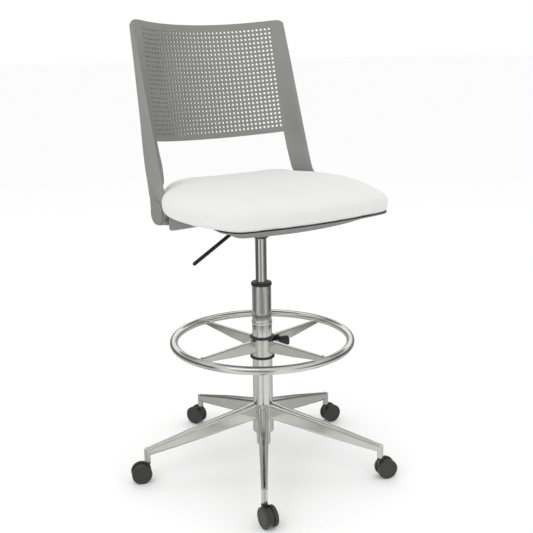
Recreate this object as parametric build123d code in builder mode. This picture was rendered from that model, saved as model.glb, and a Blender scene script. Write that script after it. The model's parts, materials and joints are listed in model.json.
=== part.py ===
from build123d import *
import os
from math import cos, radians, sin, tan

# Drafting chair: five-star base on twin-wheel casters, gas lift, adjustable foot ring,
# padded seat and a perforated back that tips on hinges beside the seat.
# Millimetres, +Z up, floor at z = 0, column axis at the origin. The sitter faces -Y,
# and +X is the sitter's left. The base and the foot ring stand turned under the seat.

os.makedirs("parts", exist_ok=True)

# ---- driving dimensions ----------------------------------------------------------------
base_turn = -123.5           # heading of the first base arm, degrees from +X
arm_count = 5
stem_circle_r = 304.0        # casters' stems from the column axis
socket_z = 54.5              # underside of the caster sockets
socket_d = 15.0

wheel_d = 50.0
wheel_w = 9.0
caster_w = 31.5              # over both wheels
caster_trail = 16.0
caster_headings = [-96.0, -18.0, -3.0, 112.0, 160.0]
stem_d = 9.0
axle_d = 6.0
running_gap = 0.05           # radial clearance of shafts in their bearings

hub_top_z = 168.0
hub_bottom_z = 87.5
foot_bottom_z = 53.5         # end plug of the column, under the hub
foot_d = 35.0
tube_bottom_z = 94.0
tube_d = 48.4
tube_bore = 44.0
cover_d = 50.4
cover_top_z = 390.0
tube_top_z = 478.0
cylinder_d = 28.0
rod_d = 10.0

ring_z = 337.0
ring_r = 221.0
ring_tube_d = 20.0
ring_turn = 11.5             # heading of the first spoke, degrees from +X
ring_hub_d = 54.0
ring_hub_z = (296.0, 342.0)
collar_d = 62.0
collar_t = 5.5
knob_turn = -11.5            # heading of the clamp knob
knob_z = 324.0

seat_tilt = 2.0              # the seat's front edge sits this much lower, degrees
seat_ref = (0.0, -35.0, 677.0)
seat_front_y = -222.0        # in the seat's own plane, from seat_ref
seat_rear_y = 218.0
seat_front_half = 239.0
seat_rear_half = 199.0
front_bow = 24.0
rear_bow = 6.0
front_corner_r = 58.0
rear_corner_r = 72.0
cushion_t = 62.0
board_t = 10.0

hinge_y = 75.0
hinge_z = 674.0
hinge_pin_d = 12.0
boss_inner_x = 214.5
boss_outer_x = 237.0
boss_r = 36.0

back_lean = 12.0             # the panel's top and bottom edges are square to this lean
panel_t = 5.0
panel_top_z = 1104.0
panel_bottom_z = 819.0

seat_plane = Plane(
    origin=seat_ref,
    x_dir=(1, 0, 0),
    z_dir=(0, -sin(radians(seat_tilt)), cos(radians(seat_tilt))),
)


def heading_plane(angle, radius, height=0.0):
    """Upright plane that faces away from the column, its x across and its y up."""
    a = radians(angle)
    return Plane(
        origin=(radius * cos(a), radius * sin(a), height),
        x_dir=(-sin(a), cos(a), 0),
        z_dir=(cos(a), sin(a), 0),
    )


def save(piece, name):
    piece.part.label = name
    export_step(piece.part, f"parts/{name}.step")


# ---- base star: hub and five arms, one casting -------------------------------------------
arm_stations = [             # radius, width, underside, top of the arm
    (14.0, 27.0, 127.0, 172.0),
    (150.0, 22.0, 97.5, 135.0),
    (230.0, 18.0, 82.0, 111.0),
    (stem_circle_r, 15.0, 69.0, 89.0),
]
socket_depth = 26.0
groove_stations = [          # the same for the shallow groove along an arm's top
    (44.0, 10.5, 162.2, 170.0),
    (150.0, 8.8, 133.4, 141.0),
    (230.0, 7.2, 109.4, 117.0),
    (285.0, 6.2, 93.4, 101.0),
]
hollow_stations = [          # radius, width, underside (past the arm's), roof of the hollow
    (40.0, 18.5, 100.0, 160.0),
    (150.0, 14.5, 80.0, 130.0),
    (292.0, 8.8, 50.0, 85.0),
]
hub_profile = [
    (0, hub_bottom_z), (22.5, hub_bottom_z), (26.5, 92), (26.5, 140), (25.6, 162),
    (25.6, hub_top_z), (0, hub_top_z),
]

with BuildPart() as base_star:
    with BuildSketch(Plane.XZ):
        with BuildLine():
            Polyline(*hub_profile, close=True)
        make_face()
    revolve(axis=Axis.Z)
    for k in range(arm_count):
        heading = base_turn + 360.0 / arm_count * k
        for inner, outer in zip(arm_stations, arm_stations[1:]):
            for radius, width, low, high in (inner, outer):
                with BuildSketch(heading_plane(heading, radius, (low + high) / 2)) as section:
                    Rectangle(width, high - low)
                    fillet(section.vertices().group_by(Axis.Z)[-1], width * 0.36)
            loft()
        a = radians(heading)
        with Locations((stem_circle_r * cos(a), stem_circle_r * sin(a), socket_z)):
            Cylinder(socket_d / 2, arm_stations[-1][3] - 1 - socket_z, align=(Align.CENTER, Align.CENTER, Align.MIN))
    # the arms are hollow underneath
    for k in range(arm_count):
        heading = base_turn + 360.0 / arm_count * k
        for inner, outer in zip(hollow_stations, hollow_stations[1:]):
            for radius, width, low, high in (inner, outer):
                with BuildSketch(heading_plane(heading, radius, (low + high) / 2)) as section:
                    Rectangle(width, high - low)
                    fillet(section.vertices().group_by(Axis.Z)[-1], width * 0.3)
            loft(mode=Mode.SUBTRACT)
        for inner, outer in zip(groove_stations, groove_stations[1:]):
            for radius, width, low, high in (inner, outer):
                with BuildSketch(heading_plane(heading, radius, (low + high) / 2)) as section:
                    Rectangle(width, high - low)
                    fillet(section.vertices().group_by(Axis.Z)[0], 1.2)
            loft(mode=Mode.SUBTRACT)
    # seat of the column, open upwards, and the way down for its end plug
    with BuildSketch(Plane.XY.offset(tube_bottom_z)):
        Circle(tube_d / 2 + running_gap)
    extrude(amount=hub_top_z - tube_bottom_z, mode=Mode.SUBTRACT)
    with BuildSketch(Plane.XY.offset(hub_bottom_z)):
        Circle(foot_d / 2 + running_gap)
    extrude(amount=tube_bottom_z - hub_bottom_z, mode=Mode.SUBTRACT)
    with BuildSketch(Plane.XY.offset(hub_top_z)):
        Circle(cover_d / 2 + running_gap)
    extrude(amount=8, mode=Mode.SUBTRACT)
    for k in range(arm_count):
        a = radians(base_turn + 360.0 / arm_count * k)
        with BuildSketch(Plane.XY.offset(socket_z)):
            with Locations((stem_circle_r * cos(a), stem_circle_r * sin(a))):
                Circle(stem_d / 2 + running_gap)
        extrude(amount=socket_depth, mode=Mode.SUBTRACT)
save(base_star, "base_star")

# ---- column: tube, chrome cover, guide and top ring ----------------------------------------
screw_heading = -75
screw_z = 464
with BuildPart() as column_tube:
    with BuildSketch(Plane.XY.offset(tube_bottom_z)):
        Circle(tube_d / 2)
        Circle(tube_bore / 2, mode=Mode.SUBTRACT)
    extrude(amount=tube_top_z - tube_bottom_z)
    with BuildSketch(Plane.XY.offset(tube_bottom_z)):
        Circle(tube_bore / 2)
        Circle(rod_d / 2 + 0.4, mode=Mode.SUBTRACT)
    extrude(amount=5)
    with BuildSketch(heading_plane(screw_heading, tube_d / 2 - 6.0, screw_z)):
        Circle(1.6)
    extrude(amount=12, mode=Mode.SUBTRACT)
save(column_tube, "column_tube")

with BuildPart() as column_foot:
    with BuildSketch(Plane.XY.offset(foot_bottom_z)):
        Circle(foot_d / 2)
    extrude(amount=tube_bottom_z - foot_bottom_z)
    fillet(column_foot.edges().group_by(Axis.Z)[0], 2.5)
    with BuildSketch(Plane.XY.offset(foot_bottom_z)):
        Circle(12.0)
    extrude(amount=7, mode=Mode.SUBTRACT)
    with BuildSketch(Plane.XY.offset(foot_bottom_z)):
        Circle(rod_d / 2 + 0.4)
    extrude(amount=60, mode=Mode.SUBTRACT)
save(column_foot, "column_foot")

cover_wall = [
    (tube_d / 2 + 0.05, hub_top_z), (cover_d / 2, hub_top_z), (cover_d / 2, cover_top_z - 10),
    (cover_d / 2 + 0.9, cover_top_z - 6), (cover_d / 2 + 0.9, cover_top_z - 2),
    (cover_d / 2 - 0.2, cover_top_z), (tube_d / 2 + 0.05, cover_top_z),
]
with BuildPart() as column_cover:
    with BuildSketch(Plane.XZ):
        with BuildLine():
            Polyline(*cover_wall, close=True)
        make_face()
    revolve(axis=Axis.Z)
save(column_cover, "column_cover")

guide_bottom_z = 410.0
with BuildPart() as guide_bush:
    with BuildSketch(Plane.XY.offset(guide_bottom_z)):
        Circle(tube_bore / 2 - 0.05)
        Circle(cylinder_d / 2 + running_gap, mode=Mode.SUBTRACT)
    extrude(amount=tube_top_z - guide_bottom_z)
save(guide_bush, "guide_bush")

top_ring_r = 25.8
top_ring_t = 9.0
with BuildPart() as column_top_ring:
    with BuildSketch(Plane.XY.offset(tube_top_z)):
        Circle(top_ring_r)
        Circle(cylinder_d / 2 + 0.6, mode=Mode.SUBTRACT)
    extrude(amount=top_ring_t)
    fillet(column_top_ring.edges().group_by(Axis.Z)[-1].sort_by(SortBy.RADIUS)[-1], 3.5)
    fillet(column_top_ring.edges().group_by(Axis.Z)[0].sort_by(SortBy.RADIUS)[-1], 2.0)
save(column_top_ring, "column_top_ring")

with BuildPart() as sleeve_screw:
    with BuildSketch(heading_plane(screw_heading, tube_bore / 2 + 0.2, screw_z)):
        Circle(1.5)
    extrude(amount=2.2)
    with BuildSketch(heading_plane(screw_heading, tube_d / 2 + 0.1, screw_z)):
        Circle(3.2)
    extrude(amount=1.6)
save(sleeve_screw, "sleeve_screw")

# ---- turning rod of the gas lift, on its thrust bearing --------------------------------------
rod_foot_z = 54.5
rod_top_z = 455.0
clip_z = 57.0
thrust_z = tube_bottom_z + 5  # underside of the thrust bearing
with BuildPart() as piston_rod:
    with BuildSketch(Plane.XY.offset(rod_foot_z)):
        Circle(rod_d / 2)
    extrude(amount=rod_top_z - rod_foot_z)
    # piston
    with BuildSketch(Plane.XY.offset(rod_top_z - 10)):
        Circle(12.0)
    extrude(amount=10)
    with BuildSketch(Plane.XY.offset(thrust_z + 7)):
        Circle(9.0)
    extrude(amount=4)
save(piston_rod, "piston_rod")

with BuildPart() as rod_clip:
    with BuildSketch(Plane.XY.offset(clip_z)):
        Circle(9.0)
        Circle(rod_d / 2, mode=Mode.SUBTRACT)
    extrude(amount=2)
    # the clip's open mouth
    with Locations((7, 0, clip_z + 1)):
        Box(14, 5, 4, mode=Mode.SUBTRACT)
save(rod_clip, "rod_clip")

with BuildPart() as thrust_bearing:
    with BuildSketch(Plane.XY.offset(thrust_z)):
        Circle(12.0)
        Circle(rod_d / 2, mode=Mode.SUBTRACT)
    extrude(amount=1.5)
    with BuildSketch(Plane.XY.offset(thrust_z + 5.5)):
        Circle(12.0)
        Circle(rod_d / 2, mode=Mode.SUBTRACT)
    extrude(amount=1.5)
    with Locations((0, 0, thrust_z + 3.5)):
        with PolarLocations(8.6, 10):
            Sphere(1.95)
save(thrust_bearing, "thrust_bearing")

# ---- gas cylinder, fixed to the seat ----------------------------------------------------------
cylinder_z = (290.0, 622.0)
with BuildPart() as gas_cylinder:
    with BuildSketch(Plane.XY.offset(cylinder_z[0])):
        Circle(cylinder_d / 2)
    extrude(amount=cylinder_z[1] - cylinder_z[0])
    with BuildSketch(Plane.XY.offset(cylinder_z[0])):
        Circle(12.6)
    extrude(amount=310, mode=Mode.SUBTRACT)
    with BuildSketch(Plane.XY.offset(cylinder_z[0] + 310)):
        Circle(4.0 + running_gap)
    extrude(amount=30, mode=Mode.SUBTRACT)
save(gas_cylinder, "gas_cylinder")

with BuildPart() as rod_gland:
    with BuildSketch(Plane.XY.offset(cylinder_z[0])):
        Circle(12.6)
        Circle(rod_d / 2 + running_gap, mode=Mode.SUBTRACT)
    extrude(amount=14)
save(rod_gland, "rod_gland")

pin_foot_z = 608.0
with BuildPart() as release_pin:
    with BuildSketch(Plane.XY.offset(pin_foot_z)):
        Circle(4.0)
    extrude(amount=22.2)
    fillet(release_pin.edges().group_by(Axis.Z)[-1], 1.0)
save(release_pin, "release_pin")

# ---- foot ring: collars, hub with four spokes, ring and clamp ------------------------------------
collar_bore = cover_d / 2 + 0.08
for name, low in (("ring_collar_lower", ring_hub_z[0] - collar_t), ("ring_collar_upper", ring_hub_z[1])):
    with BuildPart() as collar:
        with BuildSketch(Plane.XY.offset(low)):
            Circle(collar_d / 2)
            Circle(collar_bore, mode=Mode.SUBTRACT)
        extrude(amount=collar_t)
        outer_rims = collar.edges().filter_by(GeomType.CIRCLE).filter_by(lambda e: e.radius > 30)
        fillet(outer_rims, 2.2)
    save(collar, name)

spoke_stations = [           # radius, width, depth below the spoke's flat top
    (26.0, 12.5, 33.0),
    (110.0, 11.0, 24.0),
    (ring_r - 4.0, 9.0, 9.0),
]
spoke_top_z = 340.5
with BuildPart() as ring_spider:
    with BuildSketch(Plane.XY.offset(ring_hub_z[0] + 0.4)):
        Circle(ring_hub_d / 2)
    extrude(amount=ring_hub_z[1] - ring_hub_z[0] - 0.8)
    for k in range(4):
        heading = ring_turn + 90.0 * k
        for inner, outer in zip(spoke_stations, spoke_stations[1:]):
            for radius, width, depth in (inner, outer):
                with BuildSketch(heading_plane(heading, radius, spoke_top_z - depth / 2)) as section:
                    Rectangle(width, depth)
                    fillet(section.vertices(), width * 0.2)
            loft()
    with BuildSketch(Plane.XY.offset(ring_hub_z[0])):
        Circle(collar_bore + 0.5)
    extrude(amount=60, mode=Mode.SUBTRACT)
    # the ring lies in a round notch at each spoke's end
    with BuildSketch(Plane.XZ):
        with Locations((ring_r, ring_z)):
            Circle(ring_tube_d / 2)
    revolve(axis=Axis.Z, mode=Mode.SUBTRACT)
    with BuildSketch(heading_plane(knob_turn, 0, knob_z)):
        Circle(4.0 + running_gap)
    extrude(amount=60, mode=Mode.SUBTRACT)
save(ring_spider, "ring_spider")

with BuildPart() as foot_ring:
    with BuildSketch(Plane.XZ):
        with Locations((ring_r, ring_z)):
            Circle(ring_tube_d / 2)
            Circle(ring_tube_d / 2 - 1.5, mode=Mode.SUBTRACT)
    revolve(axis=Axis.Z)
save(foot_ring, "foot_ring")

with BuildPart() as ring_screws:
    for k in range(4):
        a = radians(ring_turn + 90.0 * k)
        with Locations((201.0 * cos(a), 201.0 * sin(a), spoke_top_z)):
            Cylinder(2.9, 1.8, align=(Align.CENTER, Align.CENTER, Align.MIN))
save(ring_screws, "ring_screws")

pad_face_r = cover_d / 2 + 0.6
with BuildPart() as clamp_pad:
    with BuildSketch(heading_plane(knob_turn, pad_face_r + 0.3, knob_z)):
        Circle(3.4)
    extrude(amount=1.6)
save(clamp_pad, "clamp_pad")

with BuildPart() as clamp_stud:
    with BuildSketch(heading_plane(knob_turn, pad_face_r + 2.2, knob_z)):
        Circle(4.0)
    extrude(amount=34)
save(clamp_stud, "clamp_stud")

with BuildPart() as clamp_knob:
    with BuildSketch(heading_plane(knob_turn, 47.0, knob_z)):
        Circle(11.5)
        with PolarLocations(11.2, 7):
            Circle(1.9)
    extrude(amount=23)
    with BuildSketch(heading_plane(knob_turn, 47.0, knob_z)):
        Circle(4.0)
    extrude(amount=pad_face_r + 2.2 + 34 - 47.0, mode=Mode.SUBTRACT)
save(clamp_knob, "clamp_knob")

# ---- casters: stem, hood, axle and twin wheels -----------------------------------------------------
hood_w = 12.6
hood_r = 21.0
collar_z = 49.2              # the hood's round collar starts here, clear of the wheels
stem_grip = 20.0             # how deep the stem sits in the hood
wheel_z = wheel_d / 2
for n, heading in enumerate(caster_headings, start=1):
    arm_a = radians(base_turn + 360.0 / arm_count * (n - 1))
    sx = stem_circle_r * cos(arm_a)
    sy = stem_circle_r * sin(arm_a)
    t = radians(heading)
    wx = sx + caster_trail * cos(t)
    wy = sy + caster_trail * sin(t)
    side = Plane(origin=(sx, sy, 0), x_dir=(cos(t), sin(t), 0), z_dir=(sin(t), -cos(t), 0))

    with BuildPart() as stem:
        with BuildSketch(Plane.XY.offset(socket_z - stem_grip)):
            with Locations((sx, sy)):
                Circle(stem_d / 2)
        extrude(amount=stem_grip + socket_depth - 4)
        chamfer(stem.edges().group_by(Axis.Z)[-1], 1.2)
    save(stem, f"caster_{n}_stem")

    with BuildPart() as hood:
        with BuildSketch(side):
            with Locations((caster_trail, wheel_z)):
                Circle(hood_r)
            with Locations((1.0, (wheel_z + collar_z) / 2)):
                Rectangle(13.0, collar_z - wheel_z)
        extrude(amount=hood_w / 2, both=True)
        with BuildSketch(Plane.XY.offset(collar_z)):
            with Locations((sx, sy)):
                Circle(7.3)
        extrude(amount=socket_z - 0.6 - collar_z)
        with BuildSketch(Plane.XY.offset(socket_z - stem_grip)):
            with Locations((sx, sy)):
                Circle(stem_d / 2)
        extrude(amount=stem_grip + 5, mode=Mode.SUBTRACT)
        with BuildSketch(side):
            with Locations((caster_trail, wheel_z)):
                Circle(axle_d / 2)
        extrude(amount=hood_w, both=True, mode=Mode.SUBTRACT)
    save(hood, f"caster_{n}_hood")

    with BuildPart() as axle:
        with BuildSketch(side):
            with Locations((caster_trail, wheel_z)):
                Circle(axle_d / 2)
        extrude(amount=caster_w / 2 - 2.5, both=True)
    save(axle, f"caster_{n}_axle")

    for tag, sign in (("a", 1), ("b", -1)):
        inner = side.offset(sign * (caster_w / 2 - wheel_w))
        with BuildPart() as wheel:
            with BuildSketch(inner):
                with Locations((caster_trail, wheel_z)):
                    Circle(wheel_d / 2)
            extrude(amount=sign * wheel_w)
            rims = wheel.edges().filter_by(GeomType.CIRCLE)
            fillet(rims, 2.2)
            with BuildSketch(inner.offset(sign * wheel_w)):
                with Locations((caster_trail, wheel_z)):
                    Circle(18.5)
                    Circle(17.8, mode=Mode.SUBTRACT)
            extrude(amount=-sign * 0.6, mode=Mode.SUBTRACT)
            with BuildSketch(inner):
                with Locations((caster_trail, wheel_z)):
                    Circle(axle_d / 2 + running_gap)
            extrude(amount=sign * (wheel_w - 2.2), mode=Mode.SUBTRACT)
        save(wheel, f"caster_{n}_wheel_{tag}")


# ---- seat ----------------------------------------------------------------------------------------
def seat_outline(inset):
    """Outline of the seat, drawn in from its rim: bowed front, sides closing to the rear."""
    front = seat_front_y + inset
    rear = seat_rear_y - inset
    wide = seat_front_half - inset
    narrow = seat_rear_half - inset
    with BuildSketch() as outline:
        with BuildLine():
            ThreePointArc((-wide, front + front_bow), (0, front), (wide, front + front_bow))
            Line((wide, front + front_bow), (narrow, rear - rear_bow))
            ThreePointArc((narrow, rear - rear_bow), (0, rear), (-narrow, rear - rear_bow))
            Line((-narrow, rear - rear_bow), (-wide, front + front_bow))
        make_face()
        fillet(outline.vertices().group_by(Axis.Y)[0], max(front_corner_r - inset, 20.0))
        fillet(outline.vertices().group_by(Axis.Y)[-1], max(rear_corner_r - inset, 20.0))
    return outline.sketch


rim_inset = 9.0              # the cushion overhangs the shell's rim
rim_t = 2.0
pan_levels = [(rim_inset, rim_t), (38.0, 11.0), (74.0, 29.0)]     # inset and depth below the rim
pan_wall = 3.5
bracket_x = (190.0, 229.0)
lug_x = (196.0, 212.0)
lug_r = 14.0
with BuildPart() as seat_shell:
    with BuildSketch(seat_plane):
        add(seat_outline(rim_inset))
    extrude(amount=-rim_t)
    for upper, lower in zip(pan_levels, pan_levels[1:]):
        for inset, depth in (upper, lower):
            with BuildSketch(seat_plane.offset(-depth)):
                add(seat_outline(inset))
        loft()
    # brackets under the seat's sides and the lugs that hold the hinge pins
    with BuildSketch(Plane.YZ.offset(bracket_x[0])):
        with BuildLine():
            Polyline(
                (hinge_y - 37, hinge_z + 5), (hinge_y - 37, hinge_z - 30), (hinge_y - 41, hinge_z - 34),
                (hinge_y - 50, hinge_z - 34.5), (-60, 661), (-95, 668), (-95, 671),
                (hinge_y - 55, 677), close=True,
            )
        make_face()
    extrude(amount=bracket_x[1] - bracket_x[0])
    with BuildSketch(Plane.YZ.offset(lug_x[0])):
        with Locations((hinge_y, hinge_z)):
            Circle(lug_r)
        with Locations((hinge_y - 20, hinge_z - 12)):
            Rectangle(40, 16)
    extrude(amount=lug_x[1] - lug_x[0])
    mirror(about=Plane.YZ)
    # hollow of the pan
    for upper, lower in zip(pan_levels, pan_levels[1:]):
        for inset, depth in (upper, lower):
            with BuildSketch(seat_plane.offset(-depth + pan_wall)):
                add(seat_outline(inset + pan_wall))
        loft(mode=Mode.SUBTRACT)
    with BuildSketch(seat_plane.offset(-1)):
        add(seat_outline(rim_inset + pan_wall))
    extrude(amount=30, mode=Mode.SUBTRACT)
    # bores of the hinge pins
    with BuildSketch(Plane.YZ.offset(-lug_x[1])):
        with Locations((hinge_y, hinge_z)):
            Circle(hinge_pin_d / 2)
    extrude(amount=2 * lug_x[1], mode=Mode.SUBTRACT)
save(seat_shell, "seat_shell")

board_inset = 20.0
with BuildPart() as seat_board:
    with BuildSketch(seat_plane.offset(0.3)):
        add(seat_outline(board_inset))
    extrude(amount=board_t)
    fillet(seat_board.edges().group_by(Axis.Z)[-1], 2.0)
save(seat_board, "seat_board")

cushion_levels = [(0.3, 11.0), (26.0, 0.0), (46.0, 10.0), (cushion_t, 46.0)]   # height, inset
with BuildPart() as seat_cushion:
    for lower, upper in zip(cushion_levels, cushion_levels[1:]):
        for height, inset in (lower, upper):
            with BuildSketch(seat_plane.offset(height)):
                add(seat_outline(inset))
        loft()
    with BuildSketch(seat_plane.offset(0.3)):
        add(seat_outline(board_inset - 0.3))
    extrude(amount=board_t + 0.3, mode=Mode.SUBTRACT)
    # notches over the hinge lugs
    for sign in (1, -1):
        with Locations((sign * (lug_x[0] + 20), hinge_y, hinge_z)):
            Box(41, 2 * lug_r + 1, 2 * lug_r + 1, mode=Mode.SUBTRACT)
save(seat_cushion, "seat_cushion")

# ---- mechanism under the seat -----------------------------------------------------------------
plate_low = -32.1            # in the seat's plane
with BuildPart() as mechanism_plate:
    with BuildSketch(seat_plane.offset(plate_low)):
        with Locations((0, 35)):
            RectangleRounded(150, 190, 14)
            with GridLocations(110, 150, 2, 2):
                Circle(4.2, mode=Mode.SUBTRACT)
    extrude(amount=3)
save(mechanism_plate, "mechanism_plate")

with BuildPart() as mechanism_bolts:
    with BuildSketch(seat_plane.offset(plate_low)):
        with Locations((0, 35)):
            with GridLocations(110, 150, 2, 2):
                RegularPolygon(6.5, 6)
    extrude(amount=-4)
save(mechanism_bolts, "mechanism_bolts")

bowl_top_z = 652.0
bowl_bottom_z = 597.0
bowl_r = 52.0
bowl_side_z = 636.0          # the bowl's side is upright above this
wall = 3.0
collar_r = 18.0
lever_root = (0.0, 0.0, 635.5)
lever_bend = (-52.0, 9.0, 631.0)
lever_tip = (-203.0, -30.0, 568.0)
with BuildPart() as mechanism_housing:
    with BuildSketch(Plane.XZ):
        with BuildLine():
            Polyline((15.5, bowl_bottom_z), (bowl_r - 26, bowl_bottom_z + 8))
            ThreePointArc(
                (bowl_r - 26, bowl_bottom_z + 8), (bowl_r - 8, bowl_bottom_z + 22), (bowl_r, bowl_side_z),
            )
            Polyline(
                (bowl_r, bowl_side_z), (bowl_r, bowl_top_z), (bowl_r - wall, bowl_top_z),
                (bowl_r - wall, bowl_side_z),
            )
            ThreePointArc(
                (bowl_r - wall, bowl_side_z), (bowl_r - 10.5, bowl_bottom_z + 24.5),
                (bowl_r - 27, bowl_bottom_z + 12),
            )
            Polyline(
                (bowl_r - 27, bowl_bottom_z + 12), (collar_r, bowl_bottom_z + 9),
                (collar_r, bowl_bottom_z + 24), (cylinder_d / 2 + running_gap, bowl_bottom_z + 24),
                (cylinder_d / 2 + running_gap, bowl_bottom_z), (15.5, bowl_bottom_z),
            )
        make_face()
    revolve(axis=Axis.Z)
    # the rim closes against the plate
    with BuildSketch(seat_plane.offset(plate_low)):
        Rectangle(300, 300)
    extrude(amount=40, mode=Mode.SUBTRACT)
    # slot that the lever passes through
    with Locations((-56, 9, 633)):
        Box(30, 17, 26, mode=Mode.SUBTRACT)
save(mechanism_housing, "mechanism_housing")

lever_d = 9.0
with BuildPart() as height_lever:
    with BuildLine() as lever_line:
        FilletPolyline(lever_tip, lever_bend, lever_root, radius=25)
    with BuildSketch(Plane(origin=lever_line.wires()[0] @ 0, z_dir=lever_line.wires()[0] % 0)):
        Circle(lever_d / 2)
    sweep(path=lever_line.wires()[0])
    with Locations(lever_tip):
        Sphere(lever_d / 2)
save(height_lever, "height_lever")

# ---- hinges beside the seat -------------------------------------------------------------------
with BuildPart() as hinge_pins:
    with BuildSketch(Plane.YZ.offset(lug_x[0] - 3)):
        with Locations((hinge_y, hinge_z)):
            Circle(hinge_pin_d / 2)
    extrude(amount=boss_outer_x - 1 - lug_x[0] + 3)
    mirror(about=Plane.YZ)
save(hinge_pins, "hinge_pins")

bush_d = 20.0
cap_r = 27.0
cap_t = 6.5
with BuildPart() as hinge_bushes:
    with BuildSketch(Plane.YZ.offset(boss_inner_x + 0.2)):
        with Locations((hinge_y, hinge_z)):
            Circle(bush_d / 2)
            Circle(hinge_pin_d / 2 + running_gap, mode=Mode.SUBTRACT)
    extrude(amount=boss_outer_x - boss_inner_x - 1)
    mirror(about=Plane.YZ)
save(hinge_bushes, "hinge_bushes")

with BuildPart() as recline_stops:
    with BuildSketch(Plane.YZ.offset(bracket_x[1] - 13)):
        with Locations((hinge_y - 35.3, hinge_z - 6)):
            RectangleRounded(3.4, 15, 1)
    extrude(amount=11)
    mirror(about=Plane.YZ)
save(recline_stops, "recline_stops")

spring_wire_d = 2.0
spring_r = bush_d / 2 + 3.2
with BuildPart() as recline_springs:
    with BuildLine():
        coil = Helix(
            pitch=2.6, height=7.8, radius=spring_r,
            center=(boss_inner_x + 9, hinge_y, hinge_z), direction=(1, 0, 0),
        )
    with BuildSketch(Plane(origin=coil @ 0, z_dir=coil % 0)):
        Circle(spring_wire_d / 2)
    sweep(path=coil, is_frenet=True)
    mirror(about=Plane.YZ)
save(recline_springs, "recline_springs")

for side_name, sign in (("left", 1), ("right", -1)):
    with BuildPart() as cap:
        with BuildSketch(Plane.YZ.offset(sign * boss_outer_x)):
            with Locations((hinge_y, hinge_z)):
                Circle(cap_r)
        extrude(amount=sign * cap_t)
        outer_face = cap.faces().sort_by(Axis.X)[-1 if sign > 0 else 0]
        fillet(outer_face.edges(), 2.0)
    save(cap, f"hinge_cap_{side_name}")

# ---- backrest: uprights, side strips and panel in one moulding ------------------------------------
# Each station of an upright: height, then its front, outer, rear and inner corners (x, y).
upright_stations = [
    (1130.0, (218, 215), (221.5, 220), (192, 229), (186, 224)),
    (1023.0, (218, 178), (227, 190.5), (196, 210), (186, 203)),
    (892.0, (218, 134), (234, 156.5), (199, 180), (187, 173)),
    (833.0, (218, 114.5), (238, 142), (201, 165), (187, 157)),
    (780.0, (219, 97), (241, 128), (202, 153), (188, 146)),
    (735.0, (219, 80), (242, 117), (212, 138), (200, 129)),
    (703.0, (216.5, 56), (237, 64), (237, 115), (212, 120)),
    (690.0, (216.5, 54), (236.8, 62), (236.8, 110), (216.5, 112)),
]
panel_ends = [               # height, centre of the front face, y of its edge at edge_x
    (790.0, 223.8, 152.5),
    (970.0, 255.8, 190.0),
    (1140.0, 285.9, 226.5),
]
edge_x = 190.0

with BuildPart() as backrest:
    for upper, lower in zip(upright_stations, upright_stations[1:]):
        for height, *corners in (upper, lower):
            with BuildSketch(Plane.XY.offset(height)) as section:
                with BuildLine() as edge_line:
                    Polyline(*corners, close=True)
                make_face(edge_line.edges())
                fillet(section.vertices(), 1.6)
        loft()
    with BuildSketch(Plane.YZ.offset(boss_inner_x)):
        with Locations((hinge_y + 5, hinge_z + 6)):
            Circle(boss_r)
        with Locations((hinge_y + 12, hinge_z + 20)):
            Rectangle(52, 24)
        # nose that meets the rubber stop
        with Locations((hinge_y - 23.25, hinge_z - 20)):
            Rectangle(15.5, 10)
    extrude(amount=boss_outer_x - boss_inner_x)
    mirror(about=Plane.YZ)
    for lower, upper in zip(panel_ends, panel_ends[1:]):
        for height, centre_y, end_y in (lower, upper):
            with BuildSketch(Plane.XY.offset(height)) as section:
                with BuildLine() as edge_line:
                    ThreePointArc((-edge_x, end_y), (0, centre_y), (edge_x, end_y))
                    Line((edge_x, end_y), (edge_x + 3, end_y + panel_t))
                    ThreePointArc(
                        (edge_x + 3, end_y + panel_t), (0, centre_y + panel_t), (-edge_x - 3, end_y + panel_t),
                    )
                    Line((-edge_x - 3, end_y + panel_t), (-edge_x, end_y))
                make_face(edge_line.edges())
        loft()
    # trim the panel's lower edge between the uprights, and the top edge
    lean = radians(back_lean)
    across = Plane(origin=(0, 230, panel_bottom_z), x_dir=(1, 0, 0), z_dir=(0, sin(lean), cos(lean)))
    with BuildSketch(across):
        with Locations((0, -20)):
            Rectangle(2 * 187.5, 150)
    extrude(amount=-60, mode=Mode.SUBTRACT)
    above = Plane(origin=(0, 279, panel_top_z), x_dir=(1, 0, 0), z_dir=(0, sin(lean), cos(lean)))
    with BuildSketch(above):
        Rectangle(600, 400)
    extrude(amount=80, mode=Mode.SUBTRACT)
    # round the two top corners
    facing = Plane(origin=(0, 279, panel_top_z), x_dir=(1, 0, 0), z_dir=(0, -cos(lean), sin(lean)))
    with BuildSketch(facing):
        with BuildLine() as crown_line:
            Polyline((-222.5, 5), (222.5, 5), (262, -520), (-262, -520), close=True)
        crown = make_face(crown_line.edges())
        fillet(crown.vertices().group_by(Axis.Z)[-1], 22)
    extrude(amount=300, both=True, mode=Mode.INTERSECT)
    # bore of the hinge and the hollow for its spring
    for sign in (1, -1):
        with BuildSketch(Plane.YZ.offset(sign * (boss_inner_x - 1))):
            with Locations((hinge_y, hinge_z)):
                Circle(bush_d / 2)
        extrude(amount=sign * 40, mode=Mode.SUBTRACT)
        with BuildSketch(Plane.YZ.offset(sign * (boss_inner_x + 6))):
            with Locations((hinge_y, hinge_z)):
                Circle(spring_r + 2.5)
        extrude(amount=sign * 30, mode=Mode.SUBTRACT)
save(backrest, "backrest")
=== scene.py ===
"""Looks of the drafting chair: perforated back moulding, padded seat, materials, light and camera."""
import json
import math

import bmesh
import bpy
from mathutils import Matrix, Vector


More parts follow.
